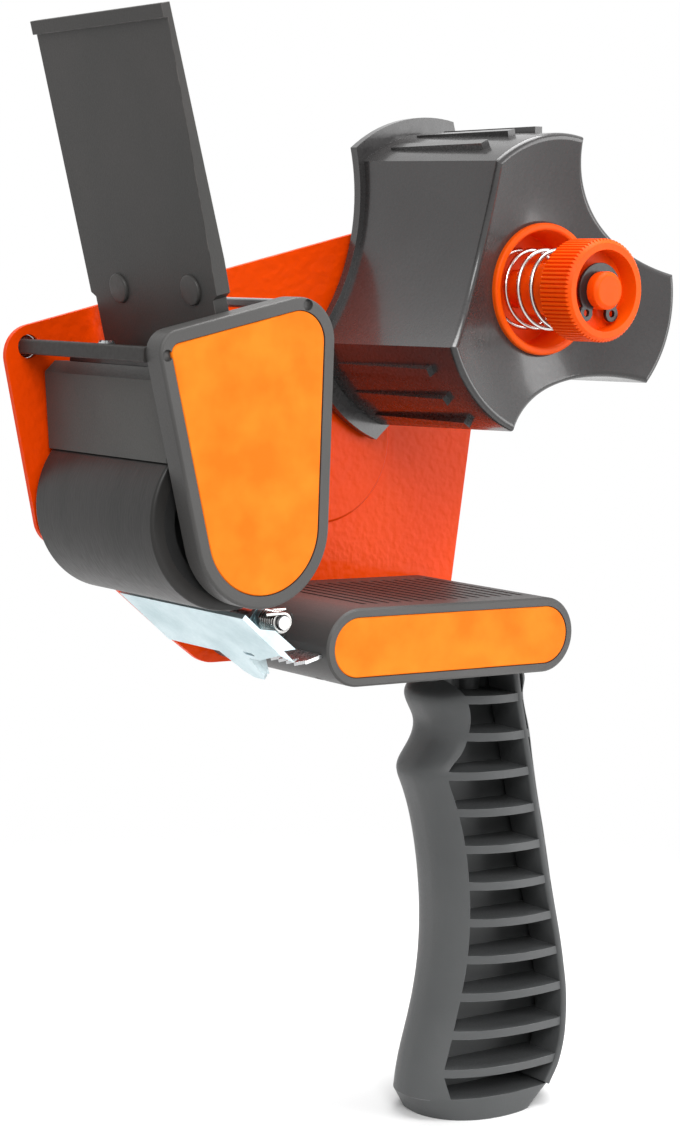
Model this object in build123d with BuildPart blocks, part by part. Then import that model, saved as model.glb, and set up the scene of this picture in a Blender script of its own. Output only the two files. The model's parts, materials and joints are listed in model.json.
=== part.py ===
from build123d import *
import os
from math import cos, radians, sin

# Hand-held dispenser for 50 mm packing tape on 76 mm cores, in millimetres.
# The origin is the middle of the pistol grip. +X runs back from the roller to the
# tape hub, +Y runs from the open side to the steel side plate, +Z is up.

# Tape, and the frame that straddles it
frame_gap = 52.0            # from the side plate to the front cover
core_bore = 76.2            # paper core that the hub carries
plate_t = 1.5
running_gap = 0.4           # beside anything that turns between plate and cover
shaft_fit = 0.05            # radial, on every turning shaft

# Heights and reaches above the grip's middle
housing_z = 62.0
housing_front_x = -58.0     # centre of the housing's front round
housing_length = 56.0       # between the centres of its two rounds
housing_r = 9.0
hub_x = -4.0
hub_z = 144.3
roller_x = -94.7
roller_z = 92.3

# Housing and badge
housing_width = 50.0
housing_wall = 2.5
groove_count = 15
groove_width = 1.2
groove_depth = 0.7
groove_pitch = 3.4
groove_margin = 6.0
badge_inset = 2.0
badge_depth = 0.8
badge_gap = 0.1
ridge_w = 1.6
ridge_h = 0.5
ridge_length = 17.0
ridge_angles = (143.0, 172.0)

# Grip
grip_half_width = 14.0
grip_profile = (            # share of its depth from the front, share of its half width
    (0.035, 0.40),
    (0.13, 0.68),
    (0.31, 0.91),
    (0.56, 1.0),
    (0.80, 0.955),
    (0.94, 0.83),
    (1.0, 0.60),
)
grip_web_t = 2.5
grip_rib_t = 2.0
grip_rib_pitch = 9.35
grip_rib_count = 11
grip_rib_top = 45.2
grip_rear_wall = 2.2
grip_front_wall = 4.6
grip_floor_z = -54.6
grip_boss_r = 3.4
grip_boss_h = 7.0

# Side plate
plate_front_top = (-123.6, 130.3)
plate_front_low = (-112.8, 84.0)
plate_toe = (-97.0, 75.5)
plate_heel = (-78.5, 60.6)
plate_rear_top = (21.6, 169.2)
plate_margin = 0.8          # below and behind the housing
plate_corner_r = 7.0
plate_rear_r = 18.0
dish_x = -33.4
dish_z = 105.6
dish_r = 20.5
dish_height = 0.8
dish_slope = 0.6

# Front cover: its sides lie on a triangle whose corners are rounded
cover_front = (-119.5, 131.5)
cover_rear = (-73.3, 143.0)
cover_foot = (-73.3, -41.0)
cover_front_r = 5.0
cover_rear_r = 9.5
cover_foot_r = 17.3
cover_depth = 5.5
cover_floor = 2.6
cover_wall = 2.2
inlay_inset = 2.8
inlay_depth = 0.9
inlay_gap = 0.1
cover_skin = 0.6            # left between a pin's end and the inlay

# Crossbars
front_bar_x = -119.0
front_bar_z = 125.6
front_bar_w = 5.0
front_bar_h = 3.3
rear_bar_x = -84.0
rear_bar_z = 137.6
rear_bar_w = 6.0
rear_bar_h = 2.2
bar_edge_r = 0.6
bar_screw_r = 1.25
bar_screw_reach = 9.0

# Roller
roller_r = 20.2
sleeve_t = 3.2
roller_width = 49.0
core_rim_t = 2.6
core_hub_r = 7.0
core_web_t = 3.0
core_recess = 4.0
axle_r = 3.0
bush_wall = 1.4
bush_length = 8.0
bush_flange = 1.2
axle_head_r = 5.0

# Press block, tongue bracket and tongue
press_x = -102.0
press_z = 119.5
press_pin_r = 1.5
press_boss_r = 3.6
block_width = 49.0
block_face_top = (-113.1, 121.7)
block_face_low = (-111.5, 104.4)
block_shoulder = 2.6
block_wall = 2.2
block_shelf_rear = -97.6
block_web_t = 2.5
block_web_count = 4
block_gap = 0.5             # from the roller's face
bracket_t = 1.2
bracket_width = 42.0
bracket_margin = 5.0        # above the rivets
tongue_base_z = 126.2
tongue_top_z = 199.2
tongue_front_x = -101.3     # of its front face, at tongue_front_z
tongue_front_z = 137.8
tongue_lean = 14.8          # degrees forward of upright
tongue_base_w = 47.5
tongue_mid_w = 51.0
tongue_top_w = 53.5
tongue_neck_z = 139.9
tongue_shift = -1.7
tongue_base_t = 3.6
tongue_top_t = 1.2
tongue_lip_h = 3.0
tongue_lip_t = 1.0
rivet_y = (11.0, -17.9)
rivet_z = 141.0
rivet_head_r = 3.4
rivet_head_h = 0.7
rivet_shank_r = 1.6
foot_screw_y = (12.0, -16.0)
foot_screw_head_r = 3.0
foot_screw_head_h = 2.2
foot_screw_r = 1.4

# Blade guard, its pin and torsion spring
guard_x = -79.0
guard_z = 68.7
guard_slope = 39.5          # degrees that its face falls towards the housing
guard_face = 6.6            # from the pin's axis to its outer face
guard_t = 1.2
guard_front = 10.6          # from the pin's foot to the edge under the roller
guard_rear = 7.8
guard_tab_reach = 17.3
guard_tab_w = 8.0
guard_tab_y = -2.0
guard_near_cut = (4.8, 13.0)   # off the face's corner at the open side
guard_corner = 2.0
guard_slot = 4.0
guard_half_w = 25.2
guard_lug_r = 2.6
guard_lug_y = 13.8
guard_pin_r = 1.5
guard_pin_short = 2.2       # of the cover's rim
guard_flange = ((-5.4, -5.5), (-1.7, -3.2), (5.5, -3.0), (3.2, -5.2), (7.2, -5.4))
guard_fold = ((6.5, -5.4), (9.8, -1.2), (16.3, -5.4))
twist_wire_r = 0.4
twist_r = 2.05
twist_turns = 7
twist_pitch = 0.86
twist_leg = 5.0
collar_r = 2.4
collar_t = 1.2

# Blade
blade_tip = (-73.3, 58.6)
blade_angle = 15.0          # degrees that its teeth point below level
blade_length = 15.0
blade_t = 0.8
blade_width = 46.0
blade_mid_y = 1.0
blade_seat_x = -55.0        # the housing is solid in front of this
tooth_pitch = 3.0
tooth_depth = 2.6
blade_notch_w = 11.0
blade_notch = 7.2
blade_screw_y = (14.0, -14.0)
blade_screw_r = 1.5

# Tape hub
hub_near_y = -29.0
hub_back_y = 24.0
hub_near_r = 36.0
hub_back_r = 37.4
hub_waist_near = 22.6
hub_waist_back = 24.6
hub_arm_half = 22.2         # degrees from an arm's middle to its corner
hub_arm_turn = 105.3        # degrees of the upper arm
hub_arms = 3
hub_edge_r = 1.2
hub_wall = 2.4
hub_dish_over = 1.0         # how far the dish runs past the arms' tips
hub_dish_depth = 9.0
hub_dish_sag = 0.8
flange_t = 2.4
flange_r = 41.4
flange_waist = 26.0
fin_angles = (-13.0, 0.0, 13.0)
fin_w = 2.2
fin_length = 34.0
fin_start = 16.0
cup_r = 15.6
cup_wall = 1.8
cup_lip = 1.4
cup_depth = 11.0
cup_floor_t = 2.2

# Post, knob, spring and circlip
post_r = 4.4
post_end_y = -43.4
post_foot_r = 13.0
post_foot_t = 1.6
post_bolt_r = 2.5
post_groove = 0.5
knob_r = 11.9
knob_back_y = -31.4
knob_front_y = -42.2
knob_flutes = 72
knob_flute_w = 0.7
knob_flute_depth = 0.55
knob_recess_r = 9.4
knob_recess_depth = 4.6
knob_boss_r = 6.1
knob_boss_length = 14.0
thread_gap = 0.15
washer_t = 1.0
washer_r = 9.6
spring_r = 9.2
spring_wire_r = 0.55
spring_turns = 4
clip_r = 6.4
clip_t = 0.9
clip_gap_angle = 50.0
lug_r = 1.9
lug_hole_r = 0.8

# Fasteners
plate_screw_head_r = 3.0
bar_screw_head_r = 2.65
bar_pad_r = 2.3
screw_tip = 0.6
plate_screw_r = 1.6
plate_screw_reach = 10.0
plate_screw_x = (-52.0, -8.0)
screw_rib_w = 8.4
handle_screw_r = 1.8
handle_screw_head_r = 3.2
handle_screw_x = (-14.0, -6.0)
handle_screw_head_h = 2.0
handle_screw_reach = 6.0

# Worked out from the above
plate_y = frame_gap / 2
cover_y = -frame_gap / 2
cover_pin_reach = cover_depth - inlay_depth - cover_skin
housing_near_y = plate_y - housing_width
grip_top_z = housing_z - housing_r
housing_rear_x = housing_front_x + housing_length
roller_near_y = -roller_width / 2
sleeve_inner_r = roller_r - sleeve_t
block_half = block_width / 2

os.makedirs("parts", exist_ok=True)


def across(y):
    """Plane square to the width at y; it faces the open side, and its x and y are X and Z."""
    return Plane.XZ.offset(-y)


def turned(x, z):
    """Plane for a turned profile about the line along Y at x, z: its x is Y, its y the radius."""
    return Plane(origin=(x, 0, z), x_dir=(0, 1, 0), z_dir=(1, 0, 0))


def shaft(x, z):
    return Axis((x, 0, z), (0, 1, 0))


def save(part, name):
    part.label = name
    export_step(part, f"parts/{name}.step")


def on_circle(radius, angle, x=0.0, z=0.0):
    return (x + radius * cos(radians(angle)), z + radius * sin(radians(angle)))


def stadium(radius):
    """Housing's section, rounds centred on the two ends, grown or shrunk to a radius."""
    with Locations(((housing_front_x + housing_rear_x) / 2, housing_z)):
        SlotCenterToCenter(housing_length, 2 * radius)


def cover_outline(inset):
    """Front cover's outline, moved inwards by an inset."""
    with BuildSketch(Plane.XY) as outline:
        with BuildLine():
            Polyline(cover_front, cover_rear, cover_foot, close=True)
        make_face()
        corners = outline.vertices()
        fillet(corners.sort_by(Axis.X)[0], cover_front_r)
        fillet(outline.vertices().sort_by(Axis.Y)[-1], cover_rear_r)
        fillet(outline.vertices().sort_by(Axis.Y)[0], cover_foot_r)
        if inset:
            offset(amount=-inset)
    return outline.sketch


# Places that several pieces share
plate_screw_places = [(x, housing_z) for x in plate_screw_x]
front_bar_mid = (front_bar_x + front_bar_w / 2, front_bar_z + front_bar_h / 2)
rear_bar_mid = (rear_bar_x + rear_bar_w / 2, rear_bar_z + rear_bar_h / 2)
bar_places = [front_bar_mid, rear_bar_mid]
post_place = (hub_x, hub_z)
axle_place = (roller_x, roller_z)
press_place = (press_x, press_z)
guard_place = (guard_x, guard_z)

# Steel side plate
with BuildPart() as side_plate:
    with BuildSketch(across(plate_y + plate_t)) as plate_outline:
        with BuildLine():
            low_z = housing_z - housing_r - plate_margin
            rear_x = housing_rear_x + housing_r + plate_margin
            Polyline(
                plate_front_top,
                plate_front_low,
                plate_toe,
                plate_heel,
                (housing_front_x - housing_r, low_z),
                (rear_x, low_z),
                plate_rear_top,
                close=True,
            )
        make_face()
        fillet(plate_outline.vertices().sort_by(Axis.X)[0], plate_corner_r)
        fillet(plate_outline.vertices().sort_by(Axis.Y)[-1], plate_rear_r)
        fillet(plate_outline.vertices().group_by(Axis.Y)[0], housing_r)
        toe = plate_outline.vertices().sort_by_distance(plate_front_low)[0]
        fillet(toe, plate_corner_r)
    extrude(amount=plate_t)
    with BuildSketch(across(plate_y)):
        with Locations((dish_x, dish_z)):
            Circle(dish_r)
    extrude(amount=dish_height)
    with BuildSketch(across(plate_y + plate_t)):
        with Locations((dish_x, dish_z)):
            Circle(dish_r - dish_slope)
    extrude(amount=dish_height, mode=Mode.SUBTRACT)
    dish_edge = side_plate.edges().filter_by(GeomType.CIRCLE).sort_by(Axis.Y)[0]
    chamfer(dish_edge, dish_slope)
    with Locations(across(plate_y + plate_t)):
        with Locations(*plate_screw_places):
            CounterSinkHole(plate_screw_r, plate_screw_head_r, plate_t, counter_sink_angle=90)
        with Locations(*bar_places):
            CounterSinkHole(bar_screw_r, bar_screw_head_r, plate_t, counter_sink_angle=90)
        with Locations(axle_place):
            Hole(axle_r, depth=plate_t)
        with Locations(post_place):
            Hole(post_bolt_r, depth=plate_t)
        with Locations(press_place):
            Hole(press_pin_r, depth=plate_t)
        with Locations(guard_place):
            Hole(guard_pin_r, depth=plate_t)
save(side_plate.part, "side_plate")

# Moulded housing, open towards the plate that closes it
blade_dir = (-cos(radians(blade_angle)), -sin(radians(blade_angle)))
blade_root = (blade_tip[0] - blade_length * blade_dir[0], blade_tip[1] - blade_length * blade_dir[1])
blade_plane = Plane(
    origin=(blade_tip[0], 0, blade_tip[1]),
    x_dir=(-blade_dir[0], 0, -blade_dir[1]),
    z_dir=(sin(radians(blade_angle)), 0, -cos(radians(blade_angle))),
)
blade_screw_s = blade_length - 4.0
with BuildPart() as body_housing:
    with BuildSketch(across(plate_y)):
        stadium(housing_r)
    extrude(amount=housing_width)
    chamfer(body_housing.edges().group_by(Axis.Y)[0], 0.5)
    with BuildSketch(across(plate_y)):
        stadium(housing_r - housing_wall)
        with Locations((blade_seat_x, housing_z)):
            Rectangle(2 * housing_r, 2 * housing_r, align=(Align.MAX, Align.CENTER), mode=Mode.SUBTRACT)
    extrude(amount=housing_width - 2 * housing_wall, mode=Mode.SUBTRACT)
    for place in plate_screw_places:
        with BuildSketch(across(plate_y)):
            stadium(housing_r - housing_wall)
            with Locations(place):
                Rectangle(screw_rib_w, 2 * housing_r, mode=Mode.INTERSECT)
        extrude(amount=plate_screw_reach + housing_wall)
    with BuildSketch(across(plate_y)):
        with Locations(*plate_screw_places):
            Circle(plate_screw_r)
    extrude(amount=plate_screw_reach, mode=Mode.SUBTRACT)
    with BuildSketch(across(housing_near_y + badge_depth)):
        stadium(housing_r - badge_inset)
    extrude(amount=badge_depth, mode=Mode.SUBTRACT)
    groove_span = housing_width - 2 * groove_margin
    groove_mid = (housing_front_x + housing_rear_x) / 2 + groove_pitch / 2
    with BuildSketch(Plane.XY.offset(housing_z + housing_r - groove_depth)):
        with Locations((groove_mid, (plate_y + housing_near_y) / 2)):
            with GridLocations(groove_pitch, 0, groove_count, 1):
                SlotOverall(groove_span, groove_width, rotation=90)
    extrude(amount=groove_depth, mode=Mode.SUBTRACT)
    for angle in ridge_angles:
        foot = on_circle(housing_r - ridge_h, angle, housing_front_x, housing_z)
        ridge_plane = Plane(
            origin=(foot[0], (plate_y + housing_near_y) / 2, foot[1]),
            x_dir=(0, 1, 0),
            z_dir=(cos(radians(angle)), 0, sin(radians(angle))),
        )
        with BuildSketch(ridge_plane):
            SlotOverall(ridge_length, ridge_w)
        extrude(amount=2 * ridge_h)
    with BuildSketch(blade_plane.offset(-blade_t / 2)):
        with Locations((blade_length / 2, -blade_mid_y)):
            Rectangle(blade_length, blade_width)
    extrude(amount=blade_t, mode=Mode.SUBTRACT)
    with BuildSketch(blade_plane.offset(blade_t / 2)):
        with Locations(*[(blade_screw_s, y) for y in blade_screw_y]):
            Circle(blade_screw_r)
    extrude(amount=housing_r + 2, mode=Mode.SUBTRACT)
    with BuildSketch(Plane.XY.offset(grip_top_z)):
        with Locations(*[(x, 0) for x in handle_screw_x]):
            Circle(handle_screw_r)
    extrude(amount=housing_wall, mode=Mode.SUBTRACT)
save(body_housing.part, "body_housing")

with BuildPart() as body_badge:
    with BuildSketch(across(housing_near_y + badge_depth)):
        stadium(housing_r - badge_inset - badge_gap)
    extrude(amount=badge_depth - badge_gap)
    chamfer(body_badge.edges().group_by(Axis.Y)[0], 0.2)
save(body_badge.part, "body_badge")

# Pistol grip: oval sections from the housing down, front and rear as seen from the side
grip_sections = (
    (grip_top_z, -21.0, 3.0),
    (46.5, -20.2, 4.2),
    (38.0, -17.9, 6.3),
    (31.5, -20.0, 8.0),
    (27.0, -23.2, 9.2),
    (22.5, -21.9, 10.2),
    (10.8, -17.6, 13.2),
    (-3.7, -14.9, 16.8),
    (-21.0, -14.5, 21.6),
    (-36.5, -17.2, 23.9),
    (-48.5, -20.3, 22.4),
    (-55.0, -20.9, 18.6),
)
grip_foot = (-60.2, -17.2, 12.2)


def grip_outline(front, rear):
    """Points round one section of the grip: rounded in front, nearly flat behind."""
    near = [(front + along * (rear - front), -share * grip_half_width) for along, share in grip_profile]
    far = [(x, -y) for x, y in reversed(near)]
    return [(front, 0), *near, *far]


with BuildPart() as handle_grip:
    for run in (grip_sections, (grip_sections[-1], grip_foot)):
        for z, front, rear in run:
            with BuildSketch(Plane.XY.offset(z)):
                with BuildLine():
                    Spline(*grip_outline(front, rear), periodic=True)
                make_face()
        loft()
    for side in (1, -1):
        with BuildSketch(across(side * grip_web_t / 2)) as cells:
            with BuildLine():
                inner = [s for s in grip_sections if s[0] > grip_floor_z]
                last = inner[-1]
                front_side = [(front + grip_front_wall, z) for z, front, rear in inner]
                rear_side = [(rear - grip_rear_wall, z) for z, front, rear in inner]
                front_edge = Spline(*front_side)
                rear_edge = Spline(*rear_side)
                Line(front_side[0], rear_side[0])
                floor_front = (last[1] + grip_front_wall + 1.5, grip_floor_z)
                floor_rear = (last[2] - grip_rear_wall - 4.5, grip_floor_z)
                Line(front_side[-1], floor_front)
                Line(floor_front, floor_rear)
                Line(floor_rear, rear_side[-1])
            make_face()
            rib_mid_z = grip_rib_top - grip_rib_pitch * (grip_rib_count - 1) / 2
            with Locations((0, rib_mid_z)):
                with GridLocations(0, grip_rib_pitch, 1, grip_rib_count):
                    Rectangle(4 * grip_half_width, grip_rib_t, mode=Mode.SUBTRACT)
        extrude(amount=-side * grip_half_width * 1.2, mode=Mode.SUBTRACT)
    with BuildSketch(Plane.XY.offset(grip_top_z)):
        with Locations(*[(x, 0) for x in handle_screw_x]):
            Circle(grip_boss_r)
    extrude(amount=-grip_boss_h)
    with BuildSketch(Plane.XY.offset(grip_top_z)):
        with Locations(*[(x, 0) for x in handle_screw_x]):
            Circle(handle_screw_r)
    extrude(amount=-handle_screw_reach, mode=Mode.SUBTRACT)
save(handle_grip.part, "handle_grip")

with BuildPart() as handle_screws:
    with BuildSketch(Plane.XY.offset(grip_top_z - handle_screw_reach)):
        with Locations(*[(x, 0) for x in handle_screw_x]):
            Circle(handle_screw_r)
    extrude(amount=handle_screw_reach + housing_wall)
    with BuildSketch(Plane.XY.offset(grip_top_z + housing_wall)):
        with Locations(*[(x, 0) for x in handle_screw_x]):
            Circle(handle_screw_head_r)
    extrude(amount=handle_screw_head_h)
save(handle_screws.part, "handle_screws")

# Front cover: a tray, open towards the roller
cover_outer_y = cover_y - cover_depth
with BuildPart() as front_cover:
    with BuildSketch(across(cover_y)):
        add(cover_outline(0))
    extrude(amount=cover_depth)
    outer_rim = front_cover.edges().group_by(Axis.Y)[0]
    fillet(outer_rim, 0.7)
    with BuildSketch(across(cover_y)):
        add(cover_outline(cover_wall))
    extrude(amount=cover_depth - cover_floor, mode=Mode.SUBTRACT)
    with BuildSketch(across(cover_outer_y + inlay_depth)):
        add(cover_outline(inlay_inset))
    extrude(amount=inlay_depth, mode=Mode.SUBTRACT)
    with BuildSketch(across(cover_y)):
        with Locations(axle_place):
            Circle(axle_head_r + 2)
        with Locations(press_place):
            Circle(press_pin_r + cover_wall)
        with Locations(*bar_places):
            Circle(bar_pad_r)
    extrude(amount=cover_depth - cover_floor)
    with BuildSketch(across(cover_y)):
        add(cover_outline(0))
    extrude(amount=cover_depth, mode=Mode.INTERSECT)
    with BuildSketch(across(cover_y)):
        with Locations(axle_place):
            Circle(axle_r)
        with Locations(press_place):
            Circle(press_pin_r)
    extrude(amount=cover_pin_reach, mode=Mode.SUBTRACT)
    with BuildSketch(across(cover_y)):
        with Locations(*bar_places):
            Circle(bar_screw_r)
    extrude(amount=cover_depth, mode=Mode.SUBTRACT)
save(front_cover.part, "front_cover")

with BuildPart() as cover_inlay:
    with BuildSketch(across(cover_outer_y + inlay_depth)):
        add(cover_outline(inlay_inset + inlay_gap))
    extrude(amount=inlay_depth - inlay_gap)
    chamfer(cover_inlay.edges().group_by(Axis.Y)[0], 0.25)
save(cover_inlay.part, "cover_inlay")


def crossbar(x, z, width, height):
    """Flat bar from the plate to the cover, bored at both ends for its screws."""
    mid = (x + width / 2, z + height / 2)
    with BuildPart() as bar:
        with BuildSketch(across(plate_y)):
            with Locations(mid):
                RectangleRounded(width, height, bar_edge_r)
        extrude(amount=frame_gap)
        with BuildSketch(across(plate_y)):
            with Locations(mid):
                Circle(bar_screw_r)
        extrude(amount=bar_screw_reach, mode=Mode.SUBTRACT)
        with BuildSketch(across(cover_y)):
            with Locations(mid):
                Circle(bar_screw_r)
        extrude(amount=-bar_screw_reach, mode=Mode.SUBTRACT)
    return bar.part


save(crossbar(front_bar_x, front_bar_z, front_bar_w, front_bar_h), "front_bar")
save(crossbar(rear_bar_x, rear_bar_z, rear_bar_w, rear_bar_h), "rear_bar")

# Roller: a rubber sleeve on a moulded core, which runs on the axle in two bushes
with BuildPart() as roller_sleeve:
    with BuildSketch(turned(*axle_place)):
        with Locations((0, (roller_r + sleeve_inner_r) / 2)):
            Rectangle(roller_width, sleeve_t)
    revolve(axis=shaft(*axle_place))
    outer = roller_sleeve.edges().filter_by(GeomType.CIRCLE).group_by(SortBy.RADIUS)[-1]
    fillet(outer, 0.8)
save(roller_sleeve.part, "roller_sleeve")

bore_r = axle_r + shaft_fit + bush_wall
with BuildPart() as roller_core:
    with BuildSketch(turned(*axle_place)):
        with Locations((0, sleeve_inner_r - core_rim_t / 2)):
            Rectangle(roller_width, core_rim_t)
        with Locations((0, (bore_r + core_hub_r) / 2)):
            Rectangle(roller_width - 2 * bush_flange, core_hub_r - bore_r)
        with Locations((0, (core_hub_r + sleeve_inner_r - core_rim_t) / 2)):
            with GridLocations(roller_width - 2 * core_recess - core_web_t, 0, 2, 1):
                Rectangle(core_web_t, sleeve_inner_r - core_rim_t - core_hub_r)
    revolve(axis=shaft(*axle_place))
save(roller_core.part, "roller_core")

with BuildPart() as roller_bushes:
    for end in (1, -1):
        with BuildSketch(turned(*axle_place)):
            with Locations((end * (roller_width / 2 - bush_length / 2), (bore_r + axle_r + shaft_fit) / 2)):
                Rectangle(bush_length, bush_wall)
            with Locations((end * (roller_width - bush_flange) / 2, (core_hub_r + axle_r + shaft_fit) / 2)):
                Rectangle(bush_flange, core_hub_r - axle_r - shaft_fit)
        revolve(axis=shaft(*axle_place))
save(roller_bushes.part, "roller_bushes")

with BuildPart() as roller_axle:
    with BuildSketch(across(plate_y + plate_t)):
        with Locations(axle_place):
            Circle(axle_r)
    extrude(amount=frame_gap + plate_t + cover_pin_reach)
    collar_len = plate_y + roller_near_y - running_gap
    with BuildSketch(across(plate_y)):
        with Locations(axle_place):
            Circle(axle_head_r)
    extrude(amount=collar_len)
    with BuildSketch(across(roller_near_y - running_gap)):
        with Locations(axle_place):
            Circle(axle_head_r)
    extrude(amount=collar_len)
    chamfer(roller_axle.edges().group_by(Axis.Y)[-1], 0.3)
save(roller_axle.part, "roller_axle")


def pin(place, radius, reach):
    """Pin through the plate, flush with its outer face, reaching past the cover's rim or short of it."""
    with BuildPart() as made:
        with BuildSketch(across(plate_y + plate_t)):
            with Locations(place):
                Circle(radius)
        extrude(amount=plate_t + frame_gap + reach)
    return made.part


save(pin(press_place, press_pin_r, cover_pin_reach), "press_pin")
save(pin(guard_place, guard_pin_r, -guard_pin_short), "guard_pin")

# Press block: a moulded channel whose lip lies just over the roller
shoulder_point = (block_face_top[0] + block_shoulder, block_face_top[1] + block_shoulder)
with BuildPart() as press_block:
    with BuildSketch(across(block_half)) as block_section:
        with BuildLine():
            Polyline(
                block_face_low,
                block_face_top,
                shoulder_point,
                (block_shelf_rear, shoulder_point[1]),
                (block_shelf_rear, shoulder_point[1] - block_wall),
                (shoulder_point[0] + block_wall / 2, shoulder_point[1] - block_wall),
                (block_face_top[0] + block_wall, block_face_top[1] - block_wall / 2),
                (block_face_low[0] + block_wall, block_face_low[1]),
                close=True,
            )
        make_face()
    extrude(amount=block_width)
    web_step = (block_width - block_web_t) / (block_web_count - 1)
    for index in range(block_web_count):
        with BuildSketch(across(block_half - index * web_step)):
            with BuildLine():
                Polyline(
                    (block_face_low[0] + 0.5, block_face_low[1] + 3),
                    (block_face_top[0] + 0.5, block_face_top[1]),
                    (shoulder_point[0], shoulder_point[1] - 0.5),
                    (block_shelf_rear, shoulder_point[1] - 0.5),
                    (press_x + press_boss_r, press_z),
                    (press_x, press_z - press_boss_r),
                    close=True,
                )
            make_face()
        extrude(amount=block_web_t)
    with BuildSketch(across(block_half)):
        with Locations(press_place):
            Circle(press_boss_r)
    extrude(amount=block_width)
    with BuildSketch(across(block_half)):
        with Locations(press_place):
            Circle(press_pin_r + shaft_fit)
    extrude(amount=block_width, mode=Mode.SUBTRACT)
    with BuildSketch(across(block_half)):
        with Locations(axle_place):
            Circle(roller_r + block_gap)
    extrude(amount=block_width, mode=Mode.SUBTRACT)
    foot_screw_x = (shoulder_point[0] + block_shelf_rear) / 2 - 0.6
    with BuildSketch(Plane.XY.offset(shoulder_point[1])):
        with Locations(*[(foot_screw_x, y) for y in foot_screw_y]):
            Circle(foot_screw_r)
    extrude(amount=-block_wall - screw_tip, mode=Mode.SUBTRACT)
save(press_block.part, "press_block")

# Steel bracket on the block's shelf, which the tongue is riveted to
lean = radians(tongue_lean)
tongue_up = (-sin(lean), cos(lean))
tongue_back = (cos(lean), sin(lean))


def on_tongue(rise, back):
    """Point of the tongue's side view: up its front face from tongue_front_z, and behind it."""
    return (
        tongue_front_x + rise * tongue_up[0] + back * tongue_back[0],
        tongue_front_z + rise * tongue_up[1] + back * tongue_back[1],
    )


tongue_base = (tongue_base_z - tongue_front_z) / cos(lean)
tongue_tip = (tongue_top_z - tongue_front_z) / cos(lean)
rivet_rise = (rivet_z - tongue_front_z) / cos(lean)
rivet_places = [(-y, 0) for y in rivet_y]
shelf_z = shoulder_point[1]
bracket_foot_rise = (shelf_z + bracket_t - tongue_front_z - tongue_base_t * tongue_back[1]) / tongue_up[1]
bracket_low = on_tongue(bracket_foot_rise, tongue_base_t)
bracket_high = on_tongue(rivet_rise + bracket_margin, tongue_base_t)
foot_front_x = shoulder_point[0] + 0.8
with BuildPart() as tongue_bracket:
    with BuildSketch(across(bracket_width / 2 + tongue_shift)):
        with BuildLine():
            Polyline(
                (foot_front_x, shelf_z),
                (bracket_low[0] + bracket_t * tongue_back[0], shelf_z),
                (bracket_high[0] + bracket_t * tongue_back[0], bracket_high[1] + bracket_t * tongue_back[1]),
                bracket_high,
                bracket_low,
                (foot_front_x, shelf_z + bracket_t),
                close=True,
            )
        make_face()
    extrude(amount=bracket_width)
    with BuildSketch(Plane.XY.offset(shelf_z)):
        with Locations(*[(foot_screw_x, y) for y in foot_screw_y]):
            Circle(foot_screw_r)
    extrude(amount=bracket_t, mode=Mode.SUBTRACT)
    rivet_plane = Plane(
        origin=(on_tongue(rivet_rise, 0)[0], 0, on_tongue(rivet_rise, 0)[1]),
        x_dir=(0, -1, 0),
        z_dir=(-tongue_back[0], 0, -tongue_back[1]),
    )
    with BuildSketch(rivet_plane):
        with Locations(*rivet_places):
            Circle(rivet_shank_r)
    extrude(amount=-2 * tongue_base_t, mode=Mode.SUBTRACT)
save(tongue_bracket.part, "tongue_bracket")

# Plastic tongue: tapers in thickness, flares in width, and ends in a lip
with BuildPart() as tape_tongue:
    with BuildSketch(across(tongue_top_w)):
        with BuildLine():
            Polyline(
                on_tongue(tongue_base, 0),
                on_tongue(tongue_tip - tongue_lip_h, 0),
                on_tongue(tongue_tip - tongue_lip_h, -tongue_lip_t),
                on_tongue(tongue_tip, -tongue_lip_t),
                on_tongue(tongue_tip, tongue_top_t),
                on_tongue(rivet_rise + 6.0, tongue_base_t),
                on_tongue(tongue_base, tongue_base_t),
                close=True,
            )
        make_face()
    extrude(amount=2 * tongue_top_w)
    neck_rise = (tongue_neck_z - tongue_front_z) / cos(lean)
    flap_plane = Plane(
        origin=(tongue_front_x, 0, tongue_front_z),
        x_dir=(0, -1, 0),
        z_dir=(-tongue_back[0], 0, -tongue_back[1]),
    )
    with BuildSketch(flap_plane.offset(-2 * tongue_base_t)):
        with BuildLine():
            Polyline(
                (-tongue_shift - tongue_base_w / 2, tongue_base),
                (-tongue_shift + tongue_base_w / 2, tongue_base),
                (-tongue_shift + tongue_base_w / 2, neck_rise - 1.0),
                (-tongue_shift + tongue_mid_w / 2, neck_rise),
                (-tongue_shift + tongue_top_w / 2, tongue_tip),
                (-tongue_shift - tongue_top_w / 2, tongue_tip),
                (-tongue_shift - tongue_mid_w / 2, neck_rise),
                (-tongue_shift - tongue_base_w / 2, neck_rise - 1.0),
                close=True,
            )
        make_face()
    extrude(amount=4 * tongue_base_t, mode=Mode.INTERSECT)
    with BuildSketch(rivet_plane):
        with Locations(*rivet_places):
            Circle(rivet_shank_r)
    extrude(amount=-2 * tongue_base_t, mode=Mode.SUBTRACT)
save(tape_tongue.part, "tape_tongue")

with BuildPart() as tongue_rivets:
    with BuildSketch(rivet_plane):
        with Locations(*rivet_places):
            Circle(rivet_head_r)
    extrude(amount=rivet_head_h)
    fillet(tongue_rivets.edges().group_by(Axis.X)[0], rivet_head_h * 0.7)
    with BuildSketch(rivet_plane):
        with Locations(*rivet_places):
            Circle(rivet_shank_r)
    extrude(amount=-(tongue_base_t + bracket_t + 0.1))
    with BuildSketch(rivet_plane.offset(-(tongue_base_t + bracket_t + 0.05))):
        with Locations(*rivet_places):
            Circle(rivet_shank_r + 0.9)
    extrude(amount=-0.8)
save(tongue_rivets.part, "tongue_rivets")

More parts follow.
